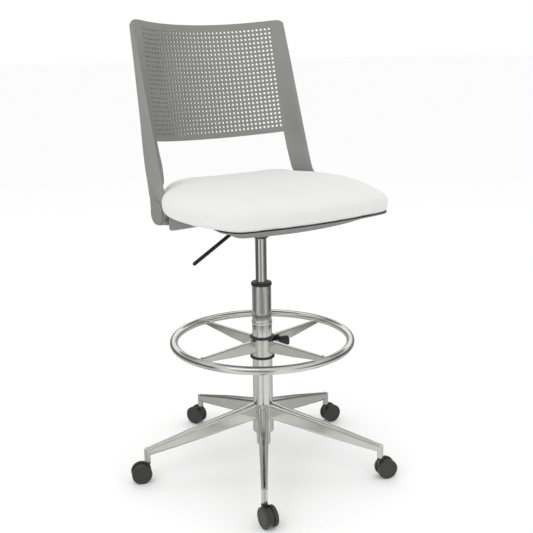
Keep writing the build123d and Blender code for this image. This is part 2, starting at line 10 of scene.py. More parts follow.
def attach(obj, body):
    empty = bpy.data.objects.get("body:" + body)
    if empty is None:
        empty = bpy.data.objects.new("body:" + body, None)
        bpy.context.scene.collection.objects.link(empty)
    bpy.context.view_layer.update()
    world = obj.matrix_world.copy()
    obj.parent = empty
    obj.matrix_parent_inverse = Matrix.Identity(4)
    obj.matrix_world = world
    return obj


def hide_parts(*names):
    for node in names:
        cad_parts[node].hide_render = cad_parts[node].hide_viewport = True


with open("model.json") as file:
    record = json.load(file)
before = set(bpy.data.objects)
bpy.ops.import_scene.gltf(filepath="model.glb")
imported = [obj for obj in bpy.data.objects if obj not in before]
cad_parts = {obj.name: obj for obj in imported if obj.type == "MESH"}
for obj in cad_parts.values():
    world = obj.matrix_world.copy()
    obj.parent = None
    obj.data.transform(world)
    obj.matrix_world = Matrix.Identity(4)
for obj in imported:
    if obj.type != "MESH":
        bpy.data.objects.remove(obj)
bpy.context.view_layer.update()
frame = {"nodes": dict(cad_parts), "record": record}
MM = 0.001


# ---- camera, light and floor ------------------------------------------------------------------
CAMERA_HEADING = math.radians(33.5)      # the camera stands this far round from the chair's front
CAMERA_DISTANCE = 2.074                  # along the floor from the column
CAMERA_HEIGHT = 1.050
CAMERA_PITCH = 0.24813
CAMERA_YAW = 0.00637
CAMERA_ROLL = -0.01327
FOCAL_OVER_WIDTH = 1.6318                # focal length over the width of the picture
SENSOR_MM = 36.0


def add_camera():
    """Camera at the photograph's viewing angle."""
    pitch, yaw, roll = CAMERA_PITCH, CAMERA_YAW, CAMERA_ROLL
    ahead = Vector((math.sin(yaw) * math.cos(pitch), math.cos(yaw) * math.cos(pitch), -math.sin(pitch)))
    right = Vector((math.cos(yaw), -math.sin(yaw), 0))
    up = right.cross(ahead)
    right_rolled = math.cos(roll) * right + math.sin(roll) * up
    up_rolled = -math.sin(roll) * right + math.cos(roll) * up
    place = Vector((0, -CAMERA_DISTANCE, CAMERA_HEIGHT))
    turned = Matrix.Rotation(-CAMERA_HEADING, 3, "Z")
    axes = [turned @ v for v in (right_rolled, up_rolled, -ahead, place)]
    data = bpy.data.cameras.new("camera")
    data.sensor_width = SENSOR_MM
    data.lens = SENSOR_MM * FOCAL_OVER_WIDTH
    camera = bpy.data.objects.new("camera", data)
    camera.matrix_world = Matrix([[v[i] for v in axes] for i in range(3)] + [[0, 0, 0, 1]])
    bpy.context.scene.collection.objects.link(camera)
    bpy.context.scene.camera = camera


def add_area_light(name, place, target, size, power):
    data = bpy.data.lights.new(name, "AREA")
    data.shape = "RECTANGLE"
    data.size, data.size_y = size
    data.energy = power
    light = bpy.data.objects.new(name, data)
    light.location = place
    light.rotation_euler = (Vector(target) - Vector(place)).to_track_quat("-Z", "Y").to_euler()
    bpy.context.scene.collection.objects.link(light)


def add_world():
    """Even white studio surroundings."""
    world = bpy.data.worlds.new("studio")
    bpy.context.scene.world = world
    world.use_nodes = True
    background = world.node_tree.nodes["Background"]
    background.inputs["Color"].default_value = (1, 1, 1, 1)
    background.inputs["Strength"].default_value = 1.0


# Brightness round the studio as polished metal sees it: degrees round from the camera's side, value.
NEAR_BANDS = (
    (-180, 0.45), (-137, 0.5), (-106, 0.58), (-74, 0.62), (-53, 0.48), (-38, 0.85), (-25, 0.85), (-10, 0.75),
    (6, 0.55), (16, 0.85), (60, 0.85), (81, 0.7), (106, 0.6), (137, 0.5), (180, 0.45),
)
MIDDLE_BANDS = (
    (-180, 0.5), (-150, 0.5), (-114, 0.3), (-95, 0.12), (-78, 0.2), (-60, 0.45), (-48, 0.6), (-36, 0.56),
    (-20, 0.4), (0, 0.28), (12, 0.28), (36, 0.46), (50, 0.62), (64, 0.42), (78, 0.25), (95, 0.16), (114, 0.10),
    (140, 0.37), (180, 0.5),
)
FAR_BANDS = (
    (-180, 0.35), (-128, 0.16), (-89, 0.10), (-58, 0.12), (-47, 0.85), (-38, 0.85), (-21, 0.4), (0, 0.2),
    (8, 0.3), (17, 0.85), (26, 0.85), (42, 0.45), (60, 0.2), (94, 0.10), (120, 0.2), (180, 0.35),
)
LOW_BRIGHT_BANDS = ((-180, 1.0), (-140, 1.0), (-100, 0.35), (-60, 0.7), (0, 0.6), (60, 0.8), (100, 0.3), (140, 1.0), (180, 1.0))
HIGH_BANDS = ((-180, 0.18), (-130, 0.25), (-80, 0.7), (0, 0.95), (80, 0.7), (130, 0.25), (180, 0.18))
CAP_BANDS = ((-180, 0.6), (0, 0.7), (180, 0.6))
TENT = (                                 # name, (radius, height) at both ends, bands
    ("tent_floor_near", (0.001, 0.001), (1.12, 0.001), NEAR_BANDS),
    ("tent_floor_middle", (1.12, 0.001), (1.75, 0.001), MIDDLE_BANDS),
    ("tent_floor_far", (1.75, 0.001), (2.6, 0.001), FAR_BANDS),
    ("tent_wall_low", (2.6, 0.001), (2.6, 0.95), FAR_BANDS),
    ("tent_wall_middle", (2.6, 0.95), (2.6, 1.8), LOW_BRIGHT_BANDS),
    ("tent_wall_high", (2.6, 1.8), (2.6, 3.0), HIGH_BANDS),
    ("tent_cap", (2.6, 3.0), (0.001, 3.3), CAP_BANDS),
)
TENT_STEPS = 72


def make_band_material(name, bands):
    """Glow that changes round the chair, softly from one band to the next."""
    material = bpy.data.materials.new(name)
    material.use_nodes = True
    tree = material.node_tree
    tree.nodes.clear()
    coords = tree.nodes.new("ShaderNodeTexCoord")
    turned = tree.nodes.new("ShaderNodeMapping")
    turned.inputs["Rotation"].default_value = (0, 0, CAMERA_HEADING + math.pi / 2)
    tree.links.new(coords.outputs["Object"], turned.inputs["Vector"])
    split = tree.nodes.new("ShaderNodeSeparateXYZ")
    tree.links.new(turned.outputs["Vector"], split.inputs[0])
    angle = tree.nodes.new("ShaderNodeMath")
    angle.operation = "ARCTAN2"
    tree.links.new(split.outputs["Y"], angle.inputs[0])
    tree.links.new(split.outputs["X"], angle.inputs[1])
    share = tree.nodes.new("ShaderNodeMath")
    share.operation = "MULTIPLY_ADD"
    share.inputs[1].default_value = 1 / math.tau
    share.inputs[2].default_value = 0.5
    tree.links.new(angle.outputs[0], share.inputs[0])
    ramp = tree.nodes.new("ShaderNodeValToRGB")
    while len(ramp.color_ramp.elements) < len(bands):
        ramp.color_ramp.elements.new(0.5)
    for element, (degrees, value) in zip(ramp.color_ramp.elements, bands):
        element.position = degrees / 360 + 0.5
        element.color = (value, value, value * 0.97, 1)
    tree.links.new(share.outputs[0], ramp.inputs[0])
    glow = tree.nodes.new("ShaderNodeEmission")
    tree.links.new(ramp.outputs[0], glow.inputs["Color"])
    output = tree.nodes.new("ShaderNodeOutputMaterial")
    tree.links.new(glow.outputs[0], output.inputs["Surface"])
    return material


def add_tent():
    """Studio tent of soft bands round the chair: only polished surfaces show it."""
    for name, first, last, bands in TENT:
        mesh = bmesh.new()
        rows = []
        for radius, height in (first, last):
            rows.append([
                mesh.verts.new((radius * math.cos(math.tau * k / TENT_STEPS), radius * math.sin(math.tau * k / TENT_STEPS), height))
                for k in range(TENT_STEPS)
            ])
        for k in range(TENT_STEPS):
            n = (k + 1) % TENT_STEPS
            mesh.faces.new((rows[0][k], rows[0][n], rows[1][n], rows[1][k]))
        part = new_object(name, mesh)
        part.visible_camera = False
        part.visible_diffuse = False
        part.visible_shadow = False
        part.visible_transmission = False
        part.data.materials.append(make_band_material(name, bands))


FLOOR_HALF = 60.0


def add_floor():
    """Pale floor, wide enough to meet the white surroundings."""
    mesh = bmesh.new()
    corners = ((-1, -1), (1, -1), (1, 1), (-1, 1))
    mesh.faces.new([mesh.verts.new((x * FLOOR_HALF, y * FLOOR_HALF, 0)) for x, y in corners])
    floor = new_object("floor", mesh)
    floor.data.materials.append(make_floor_material())


# ---- materials ----------------------------------------------------------------------------------
class Shader:
    """A node material built around one Principled shader."""

    def __init__(self, name, color, roughness, metallic=0.0, specular=0.5):
        self.material = bpy.data.materials.new(name)
        self.material.use_nodes = True
        self.tree = self.material.node_tree
        self.main = self.tree.nodes["Principled BSDF"]
        self.main.inputs["Base Color"].default_value = (*color, 1)
        self.main.inputs["Roughness"].default_value = roughness
        self.main.inputs["Metallic"].default_value = metallic
        self.main.inputs["Specular IOR Level"].default_value = specular
        self.place = self.tree.nodes.new("ShaderNodeTexCoord").outputs["Object"]

    def node(self, kind, **inputs):
        made = self.tree.nodes.new(kind)
        for name, value in inputs.items():
            made.inputs[name.replace("_", " ")].default_value = value
        return made

    def noise(self, scale, detail=3.0, stretch=None):
        made = self.node("ShaderNodeTexNoise", Scale=scale, Detail=detail)
        source = self.place
        if stretch:
            mapping = self.node("ShaderNodeMapping")
            mapping.inputs["Scale"].default_value = stretch
            self.tree.links.new(source, mapping.inputs["Vector"])
            source = mapping.outputs["Vector"]
        self.tree.links.new(source, made.inputs["Vector"])
        return made.outputs["Fac"]

    def spread(self, value, low, high):
        made = self.node("ShaderNodeMapRange")
        made.inputs["From Min"].default_value = 0.3
        made.inputs["From Max"].default_value = 0.7
        made.inputs["To Min"].default_value = low
        made.inputs["To Max"].default_value = high
        self.tree.links.new(value, made.inputs["Value"])
        return made.outputs["Result"]

    def vary_roughness(self, value, low, high):
        self.tree.links.new(self.spread(value, low, high), self.main.inputs["Roughness"])

    def vary_color(self, value, dark, light):
        ramp = self.node("ShaderNodeValToRGB")
        ramp.color_ramp.elements[0].position = 0.3
        ramp.color_ramp.elements[1].position = 0.7
        ramp.color_ramp.elements[0].color = (*dark, 1)
        ramp.color_ramp.elements[1].color = (*light, 1)
        self.tree.links.new(value, ramp.inputs["Fac"])
        self.tree.links.new(ramp.outputs["Color"], self.main.inputs["Base Color"])

    def bump(self, value, strength, distance):
        made = self.node("ShaderNodeBump", Strength=strength, Distance=distance)
        self.tree.links.new(value, made.inputs["Height"])
        before = self.main.inputs["Normal"]
        if before.is_linked:
            self.tree.links.new(before.links[0].from_socket, made.inputs["Normal"])
        self.tree.links.new(made.outputs["Normal"], before)


def shade(color, factor):
    return tuple(min(1.0, c * factor) for c in color)


def make_floor_material():
    s = Shader("floor_paint", (0.97, 0.97, 0.97), 0.8, specular=0.2)
    s.vary_roughness(s.noise(3.0), 0.75, 0.9)
    return s.material


def make_chrome(name, color=(0.74, 0.74, 0.72), low=0.05, high=0.11):
    s = Shader(name, color, low, metallic=1.0)
    s.vary_roughness(s.noise(60.0, 4.0), low, high)
    s.vary_color(s.noise(25.0), shade(color, 0.96), shade(color, 1.03))
    s.bump(s.noise(18.0, 2.0), 0.05, 0.0006)
    return s.material


def make_cast(name, color=(0.66, 0.66, 0.63)):
    """Polished casting: bright, with the faint waviness that hand polishing leaves."""
    s = Shader(name, color, 0.14, metallic=1.0)
    s.vary_roughness(s.noise(45.0, 5.0), 0.10, 0.20)
    s.vary_color(s.noise(14.0), shade(color, 0.94), shade(color, 1.04))
    s.bump(s.noise(30.0, 3.0), 0.10, 0.0008)
    return s.material


def make_steel(name, color=(0.56, 0.56, 0.55)):
    s = Shader(name, color, 0.28, metallic=1.0)
    s.vary_roughness(s.noise(220.0, 3.0, stretch=(1, 1, 0.08)), 0.2, 0.36)
    s.bump(s.noise(300.0, 2.0, stretch=(1, 1, 0.08)), 0.06, 0.0003)
    return s.material


def make_plastic(name, color, low=0.42, high=0.55, grain=0.12, grain_scale=1400.0):
    """Moulded plastic with a fine spark-eroded grain and slight gloss changes."""
    s = Shader(name, color, low)
    s.vary_color(s.noise(9.0, 4.0), shade(color, 0.96), shade(color, 1.05))
    s.vary_roughness(s.noise(35.0, 4.0), low, high)
    s.bump(s.noise(grain_scale, 2.0), grain, 0.0003)
    return s.material


def make_paint(name, color):
    s = Shader(name, color, 0.3)
    s.vary_roughness(s.noise(90.0, 3.0), 0.25, 0.38)
    s.bump(s.noise(700.0, 2.0), 0.08, 0.0003)
    return s.material


def make_rubber(name, color):
    s = Shader(name, color, 0.6)
    s.vary_color(s.noise(40.0, 4.0), shade(color, 0.85), shade(color, 1.15))
    s.vary_roughness(s.noise(60.0, 4.0), 0.5, 0.7)
    s.bump(s.noise(900.0, 2.0), 0.15, 0.0003)
    return s.material


def make_wood(name):
    s = Shader(name, (0.5, 0.36, 0.22), 0.6)
    grain = s.noise(12.0, 6.0, stretch=(1, 14, 14))
    s.vary_color(grain, (0.38, 0.25, 0.14), (0.62, 0.46, 0.29))
    s.bump(grain, 0.2, 0.0006)
    return s.material


WEAVE_PITCH = 1.5 * MM


def make_fabric(name, color=(0.715, 0.715, 0.71)):
    """Off-white plain weave: crossing threads, slightly uneven in height, colour and spacing, with painted shade
    darkening the hollows between the threads.
    """
    s = Shader(name, color, 0.9, specular=0.25)
    s.main.inputs["Sheen Weight"].default_value = 0.25
    s.main.inputs["Sheen Roughness"].default_value = 0.5
    wobble = s.node("ShaderNodeTexNoise", Scale=40.0, Detail=2.0)
    s.tree.links.new(s.place, wobble.inputs["Vector"])
    shift = s.node("ShaderNodeVectorMath")
    shift.operation = "MULTIPLY_ADD"
    shift.inputs[1].default_value = (0.0012, 0.0012, 0.0012)
    s.tree.links.new(wobble.outputs["Color"], shift.inputs[0])
    s.tree.links.new(s.place, shift.inputs[2])
    split = s.node("ShaderNodeSeparateXYZ")
    s.tree.links.new(shift.outputs[0], split.inputs[0])
    def math_node(operation, first, second=None):
        made = s.node("ShaderNodeMath")
        made.operation = operation
        for socket, value in zip(made.inputs, (first, second)):
            if isinstance(value, (int, float)):
                socket.default_value = value
            elif value is not None:
                s.tree.links.new(value, socket)
        return made.outputs[0]

    waves = {}
    for axis in ("X", "Y", "Z"):
        waves[axis] = math_node("SINE", math_node("MULTIPLY", split.outputs[axis], math.pi / WEAVE_PITCH))
    both = math_node("ADD", split.outputs["X"], split.outputs["Y"])
    along = math_node("SINE", math_node("MULTIPLY", both, math.pi / WEAVE_PITCH))
    on_top = math_node("MULTIPLY", waves["X"], waves["Y"])
    on_sides = math_node("MULTIPLY", along, waves["Z"])
    facing = s.node("ShaderNodeSeparateXYZ")
    s.tree.links.new(s.node("ShaderNodeTexCoord").outputs["Normal"], facing.inputs[0])
    upward = s.node("ShaderNodeMapRange")
    upward.inputs["From Min"].default_value = 0.6
    upward.inputs["From Max"].default_value = 0.8
    s.tree.links.new(math_node("ABSOLUTE", facing.outputs["Z"]), upward.inputs["Value"])
    cross = s.node("ShaderNodeMix")
    s.tree.links.new(upward.outputs["Result"], cross.inputs[0])
    s.tree.links.new(on_sides, cross.inputs[2])
    s.tree.links.new(on_top, cross.inputs[3])
    ease = s.node("ShaderNodeMapRange")
    ease.inputs["From Min"].default_value = -1.0
    ease.inputs["From Max"].default_value = 1.0
    s.tree.links.new(cross.outputs[0], ease.inputs["Value"])
    # colour lighter on the thread tops and darker in the weave's hollows (painted shade), mixed half and half
    # with random tone from noise
    weave_shade_and_tone = math_node("ADD", math_node("MULTIPLY", ease.outputs["Result"], 0.5), math_node("MULTIPLY", s.noise(330.0, 2.0), 0.5))
    s.vary_color(weave_shade_and_tone, shade(color, 0.93), shade(color, 1.04))
    s.bump(ease.outputs["Result"], 0.35, 0.0005)
    s.bump(s.noise(600.0, 3.0), 0.12, 0.0004)
    s.bump(s.noise(7.0, 2.0), 0.05, 0.004)
    return s.material


GREY = (0.225, 0.228, 0.212)
CASTER_GREY = (0.034, 0.036, 0.031)
BLACK = (0.018, 0.018, 0.018)
slot_materials = {
    "polished_aluminium": make_cast("polished_aluminium"),
    "chrome": make_chrome("chrome"),
    "bright_steel": make_steel("bright_steel"),
    "dark_steel": make_paint("dark_steel", (0.04, 0.04, 0.042)),
    "black_lever": make_paint("black_lever", BLACK),
    "black_plastic": make_plastic("black_plastic", BLACK, 0.32, 0.45),
    "nylon": make_plastic("nylon", (0.6, 0.59, 0.55), 0.4, 0.5),
    "caster_plastic": make_plastic("caster_plastic", CASTER_GREY, 0.38, 0.5),
    "caster_tread": make_plastic("caster_tread", CASTER_GREY, 0.38, 0.5),
    "grey_shell": make_plastic("grey_shell", GREY),
    "black_rubber": make_rubber("black_rubber", (0.012, 0.012, 0.012)),
    "plywood": make_wood("plywood"),
    "seat_fabric": make_fabric("seat_fabric"),
}


def dress_cad_nodes():
    """Every carried-over CAD node takes the node material of its slot."""
    for part in frame["record"]["subparts"]:
        node = frame["nodes"][part["node"]]
        material = slot_materials[part["material_slot"]]
        if not node.material_slots:
            node.data.materials.append(material)
        for entry in node.material_slots:
            entry.material = material


# ---- mesh helpers ---------------------------------------------------------------------------------
def new_object(name, mesh):
    data = bpy.data.meshes.new(name)
    bmesh.ops.recalc_face_normals(mesh, faces=mesh.faces)
    mesh.to_mesh(data)
    mesh.free()
    made = bpy.data.objects.new(name, data)
    bpy.context.scene.collection.objects.link(made)
    return made


def apply_modifiers(piece):
    """Replaces the piece's mesh by what its modifiers give."""
    bpy.context.view_layer.update()
    graph = bpy.context.evaluated_depsgraph_get()
    data = bpy.data.meshes.new_from_object(piece.evaluated_get(graph))
    piece.modifiers.clear()
    piece.data = data


def smooth(piece, angle=math.radians(35)):
    for face in piece.data.polygons:
        face.use_smooth = True
    piece.data.set_sharp_from_angle(angle=angle)


# ---- back moulding ------------------------------------------------------------------------------------
HOLE_COLUMNS = 37
HOLE_ROWS = 24
HOLE_RADIUS = 3.0
HOLE_LIP = 0.35
CELL_STEPS = 4                           # edge steps on each side of a hole's cell
FIRST_ROW_H = 1084.0                     # height of the top row of holes at the middle of the panel
LAST_ROW_H = 836.0
TOP_H = 1104.0
BOTTOM_H = 819.0
TILT = 0.19                              # the panel's edges and rows lie in planes that rise to the front
PANEL_T = 5.0
PANEL_HALF = 186.5                       # half width of the field of holes, on the chord
CORNER_R = 18.0

# Stations of an upright, from the top down: height, then (x, y) of its front, outer, rear and inner corners.
STATIONS = [
    (1130.0, (218, 215), (221.5, 220), (192, 229), (186, 224)),
    (1023.0, (218, 178), (227, 190.5), (196, 210), (186, 203)),
    (892.0, (218, 134), (234, 156.5), (199, 180), (187, 173)),
    (833.0, (218, 114.5), (238, 142), (201, 165), (187, 157)),
    (780.0, (219, 97), (241, 128), (202, 153), (185.5, 145)),
    (735.0, (219, 79), (240.6, 117), (206, 138), (189, 130)),
    (722.0, (218, 69), (239.2, 117), (212, 133), (200, 126)),
    (710.0, (217.2, 60), (238.0, 116.5), (222, 125), (211, 120)),
    (700.0, (216.5, 54.5), (236.9, 115.5), (232, 118.5), (216.5, 118)),
    (685.0, (217.0, 58), (236.4, 110), (231, 112.5), (217.0, 112)),
]


def middle_y(z):
    """Front face of the panel at the chair's middle."""
    return 276.0 + 0.1774 * (z - 1084.0)


def edge_y(z):
    """Front face of the panel at the edge of the field of holes."""
    return 219.0 + 0.209 * (z - 1093.0)


def corner(which, z):
    """A corner of the upright's section at height z, between its stations."""
    for upper, lower in zip(STATIONS, STATIONS[1:]):
        if z >= lower[0]:
            share = (z - lower[0]) / (upper[0] - lower[0])
            low, high = lower[1 + which], upper[1 + which]
            return [low[i] + share * (high[i] - low[i]) for i in range(2)]
    return list(STATIONS[-1][1 + which])


def on_plane(h, place):
    """Point where the line place(z) -> (x, y) meets the tilted plane through height h at the middle."""
    z = h
    for _ in range(12):
        x, y = place(z)
        z = h - TILT * (y - middle_y(h))
    return Vector((x, y, z))


def panel_point(share, h, back=False):
    """Point on the panel's face; share runs from -1 to 1 across the field of holes."""
    def place(z):
        rise = middle_y(z) - edge_y(z)
        radius = (PANEL_HALF ** 2 + rise ** 2) / (2 * rise)
        turn = math.asin(PANEL_HALF / radius) * share
        reach = radius + (PANEL_T if back else 0.0)
        return reach * math.sin(turn), middle_y(z) - radius + reach * math.cos(turn)
    return on_plane(h, place)


def upright_point(which, h, sign):
    point = on_plane(h, lambda z: corner(which, z))
    return Vector((sign * point.x, point.y, point.z))


FLANK_TOP = 752.0                        # the upright's slanting outer face squares up below this
FLANK_BOTTOM = 703.0
FLANK_CORNER = ((232.5, 0.6), (236.9, 8.0))     # across, and behind the front corner


def rounded_corner(before, tip, after, radius=2.2):
    """Three points that round off a corner."""
    start = tip + (before - tip).normalized() * min(radius, (before - tip).length * 0.28)
    end = tip + (after - tip).normalized() * min(radius, (after - tip).length * 0.28)
    return [start, start.lerp(end, 0.5).lerp(tip, 0.5), end]


def side_loop(h, sign):
    """Points round one upright from the panel's front edge to its back edge, at height h."""
    front_edge = panel_point(sign, h)
    inward = panel_point(sign * 0.97, h)
    tangent = (front_edge - inward).normalized()
    front = upright_point(0, h, sign)
    outer = upright_point(1, h, sign)
    rear = upright_point(2, h, sign)
    inner = upright_point(3, h, sign)
    back_edge = panel_point(sign, h, back=True)
    if h < BOTTOM_H:
        fade = min(1.0, (BOTTOM_H - h) / 60.0)
        front_edge = front_edge.lerp(inner, fade)
        back_edge = back_edge.lerp(inner.lerp(rear, 0.5), fade)
        tangent = tangent.lerp((front - inner).normalized(), fade)
    span = front - front_edge
    points = [front_edge]
    for t in (0.15, 0.3, 0.5, 0.75):
        a = 2 * t ** 3 - 3 * t ** 2 + 1
        b = t ** 3 - 2 * t ** 2 + t
        c = -2 * t ** 3 + 3 * t ** 2
        d = t ** 3 - t ** 2
        points.append(front_edge * a + tangent * span.length * b + front * c + span * d)
    points += rounded_corner(front_edge.lerp(front, 0.9), front, outer)
    squared = max(0.0, min(1.0, (FLANK_TOP - front.z) / (FLANK_TOP - FLANK_BOTTOM)))
    squared = squared * squared * (3 - 2 * squared)
    for share, (x, ahead) in zip((0.3, 0.6), FLANK_CORNER):
        level = h - TILT * (front.y + ahead - middle_y(h))
        points.append(front.lerp(outer, share).lerp(Vector((sign * x, front.y + ahead, level)), squared))
    points += rounded_corner(front, outer, rear)
    points += [outer.lerp(rear, t) for t in (0.33, 0.67)]
    points += rounded_corner(outer, rear, back_edge)
    points.append(back_edge)
    return points


def corner_drop(x, reach=221.0):
    """How far the top edge has come down at this distance from the middle."""
    into = max(0.0, abs(x) - (reach - CORNER_R))
    return CORNER_R - math.sqrt(max(0.0, CORNER_R ** 2 - min(into, CORNER_R) ** 2))


def hole_row_levels():
    pitch = (FIRST_ROW_H - LAST_ROW_H) / (HOLE_ROWS - 1)
    top = FIRST_ROW_H + pitch / 2
    count = HOLE_ROWS * CELL_STEPS
    return [top - pitch * k / CELL_STEPS for k in range(count + 1)]


def build_back():
    """The whole back: perforated panel, side strips and uprights in one closed mesh."""
    mesh = bmesh.new()
    field_levels = hole_row_levels()
    above = [TOP_H, (TOP_H * 2 + field_levels[0]) / 3, (TOP_H + field_levels[0] * 2) / 3]
    below = [(field_levels[-1] + BOTTOM_H) / 2, BOTTOM_H]
    levels = above + field_levels + below
    first_field = len(above)
    last_field = first_field + len(field_levels) - 1
    columns = HOLE_COLUMNS * CELL_STEPS
    shares = [2.0 * k / columns - 1.0 for k in range(columns + 1)]

    def vert(point):
        return mesh.verts.new(point * MM)

    def settle(h, x):
        """Level of a point, where the rounded top corners press the upper rows down."""
        span = TOP_H - field_levels[0]
        weight = max(0.0, min(1.0, (h - field_levels[0] + 40.0) / (span + 40.0)))
        return h - corner_drop(x) * weight

    sides = {}
    for sign in (-1, 1):
        sides[sign] = []
        for h in levels:
            rest = side_loop(h, sign)
            moved = [side_loop(settle(h, p.x), sign)[i] for i, p in enumerate(rest)]
            sides[sign].append([vert(p) for p in moved])
    faces_front = []
    faces_back = []
    for row, h in enumerate(levels):
        in_field = first_field <= row <= last_field
        front_row, back_row = [], []
        for k, share in enumerate(shares):
            if k in (0, columns):
                loop = sides[-1 if k == 0 else 1][row]
                front_row.append(loop[0])
                back_row.append(loop[-1])
                continue
            inside = in_field and k % CELL_STEPS and (row - first_field) % CELL_STEPS
            if inside:
                front_row.append(None)
                back_row.append(None)
                continue
            front_row.append(vert(panel_point(share, h)))
            back_row.append(vert(panel_point(share, h, back=True)))
        faces_front.append(front_row)
        faces_back.append(back_row)

    def quad(*corners):
        mesh.faces.new(corners)

    # plain stretches of the panel above and below the field of holes
    for row in range(len(levels) - 1):
        if first_field <= row < last_field:
            continue
        for k in range(columns):
            for grid in (faces_front, faces_back):
                quad(grid[row][k], grid[row][k + 1], grid[row + 1][k + 1], grid[row + 1][k])
    # cells, each with a hole through it
    pitch_h = (FIRST_ROW_H - LAST_ROW_H) / (HOLE_ROWS - 1)
    rise_ratio = pitch_h / 10.9
    for i in range(HOLE_ROWS):
        for j in range(HOLE_COLUMNS):
            row, col = first_field + i * CELL_STEPS, j * CELL_STEPS
            rim = [(row, col + s) for s in range(CELL_STEPS)]
            rim += [(row + s, col + CELL_STEPS) for s in range(CELL_STEPS)]
            rim += [(row + CELL_STEPS, col + CELL_STEPS - s) for s in range(CELL_STEPS)]
            rim += [(row + CELL_STEPS - s, col) for s in range(CELL_STEPS)]
            count = len(rim)
            centre_h = FIRST_ROW_H - pitch_h * i
            centre_share = (2.0 * j + 1.0) / HOLE_COLUMNS - 1.0
            cell_share = 2.0 / HOLE_COLUMNS
            rings = []
            for back, extra in ((False, HOLE_LIP), (False, 0.0), (True, 0.0), (True, HOLE_LIP)):
                ring = []
                for k in range(count):
                    a = math.tau * (k / count) + math.radians(135)
                    r = HOLE_RADIUS + extra
                    share = centre_share + cell_share * r / 10.7 * math.cos(a)
                    h = centre_h + r * rise_ratio * math.sin(a)
                    ring.append((share, h))
                rings.append((back, ring))
            lip = 0.06
            made = []
            for n, (back, ring) in enumerate(rings):
                verts = []
                for share, h in ring:
                    point = panel_point(share, h, back)
                    if n in (1, 2):
                        other = panel_point(share, h, not back)
                        point = point.lerp(other, lip)
                    verts.append(vert(point))
                made.append(verts)
            for k in range(count):
                n = (k + 1) % count
                # the rim runs clockwise from the upper left corner, as the ring's angles fall
                quad(
                    faces_front[rim[k][0]][rim[k][1]], faces_front[rim[n][0]][rim[n][1]],
                    made[0][-n % count], made[0][-k % count],
                )
                quad(
                    faces_back[rim[k][0]][rim[k][1]], faces_back[rim[n][0]][rim[n][1]],
                    made[3][-n % count], made[3][-k % count],
                )
                for upper, lower in zip(made, made[1:]):
                    quad(upper[-k % count], upper[-n % count], lower[-n % count], lower[-k % count])
    # edges of the panel
    for row in (0, len(levels) - 1):
        for k in range(columns):
            quad(faces_front[row][k], faces_front[row][k + 1], faces_back[row][k + 1], faces_back[row][k])
    # side strips beside the panel, then the free uprights below it
    lower_levels = [BOTTOM_H - d for d in (8, 18, 30, 44, 60, 72, 84, 94, 102, 110, 118, 126, 134, 142, 148, 155)]
    for sign in (-1, 1):
        loops = sides[sign]
        for upper, lower in zip(loops, loops[1:]):
            for a, b in zip(range(len(upper) - 1), range(1, len(upper))):
                quad(upper[a], upper[b], lower[b], lower[a])
        top = loops[0]
        mesh.faces.new(top)
        previous = loops[-1]
        for h in lower_levels:
            current = [vert(p) for p in side_loop(h, sign)]
            for a in range(len(current)):
                b = (a + 1) % len(current)
                quad(previous[a], previous[b], current[b], current[a])
            previous = current
        mesh.faces.new(previous)
    back = new_object("back_moulding", mesh)
    return back


BOSS_X = (214.5, 237.0)
BOSS_CENTRE = (80.0, 680.0)
BOSS_R = 36.0
BOSS_EDGE = ((4.0, 0.0), (2.2, 0.35), (0.9, 1.2), (0.0, 3.0))    # depth under the outer face, drawn in by


def boss_outline():
    """The boss's outline (y, z): from the upright round the front, the nose and the rear."""
    cy, cz = BOSS_CENTRE

    def arc(first, last, count):
        angles = [math.radians(first + (last - first) * k / count) for k in range(count + 1)]
        return [(cy + BOSS_R * math.cos(a), cz + BOSS_R * math.sin(a)) for a in angles]

    outline = [(64.0, 702.0)] + arc(146, 212, 14)
    outline += [(45.2, 659.0), (44.2, 658.0), (44.2, 651.0), (45.4, 649.5), (58.0, 648.6)]
    outline += arc(243, 360, 24) + [(116.0, 690.0), (115.8, 700.0)]
    return outline


def build_boss(sign):
    """Round boss at the foot of an upright, with the nose that meets the rubber stop."""
    mesh = bmesh.new()
    outline = boss_outline()
    count = len(outline)
    rings = []
    levels = [(BOSS_X[0], 0.0)] + [(BOSS_X[1] - depth, inset) for depth, inset in BOSS_EDGE]
    for x, inset in levels:
        ring = []
        for k, (y, z) in enumerate(outline):
            before, after = Vector(outline[k - 1]), Vector(outline[(k + 1) % count])
            along = (after - before).normalized()
            inward = Vector((-along.y, along.x))
            ring.append(mesh.verts.new(Vector((sign * x, y + inward.x * inset, z + inward.y * inset)) * MM))
        rings.append(ring)
    for upper, lower in zip(rings, rings[1:]):
        for a in range(count):
            b = (a + 1) % count
            mesh.faces.new((upper[a], upper[b], lower[b], lower[a]))
    mesh.faces.new(rings[0])
    mesh.faces.new(rings[-1])
    return new_object(f"boss_{'left' if sign > 0 else 'right'}", mesh)


def make_back():
    back = build_back()
    for sign in (-1, 1):
        boss = build_boss(sign)
        join = back.modifiers.new("join", "BOOLEAN")
        join.operation = "UNION"
        join.solver = "EXACT"
        join.object = boss
        apply_modifiers(back)
        bpy.data.objects.remove(boss)
    smooth(back)
    back.data.materials.clear()
    back.data.materials.append(slot_materials["grey_shell"])
    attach(back, "back")
    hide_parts("backrest")


# ---- seat cushion ---------------------------------------------------------------------------------------
SEAT_TILT = math.radians(2.0)
SEAT_REF = Vector((0, -35.0, 677.0))
RIM_INSET = 9.0                          # the cushion's widest line stands this far out over the shell's rim


def seat_to_row(x, y, z):
    """A place in the seat's own plane, in the chair's frame, in millimetres."""
    c, s = math.cos(SEAT_TILT), math.sin(SEAT_TILT)
    return Vector((x, SEAT_REF.y + y * c - z * s, SEAT_REF.z + y * s + z * c))


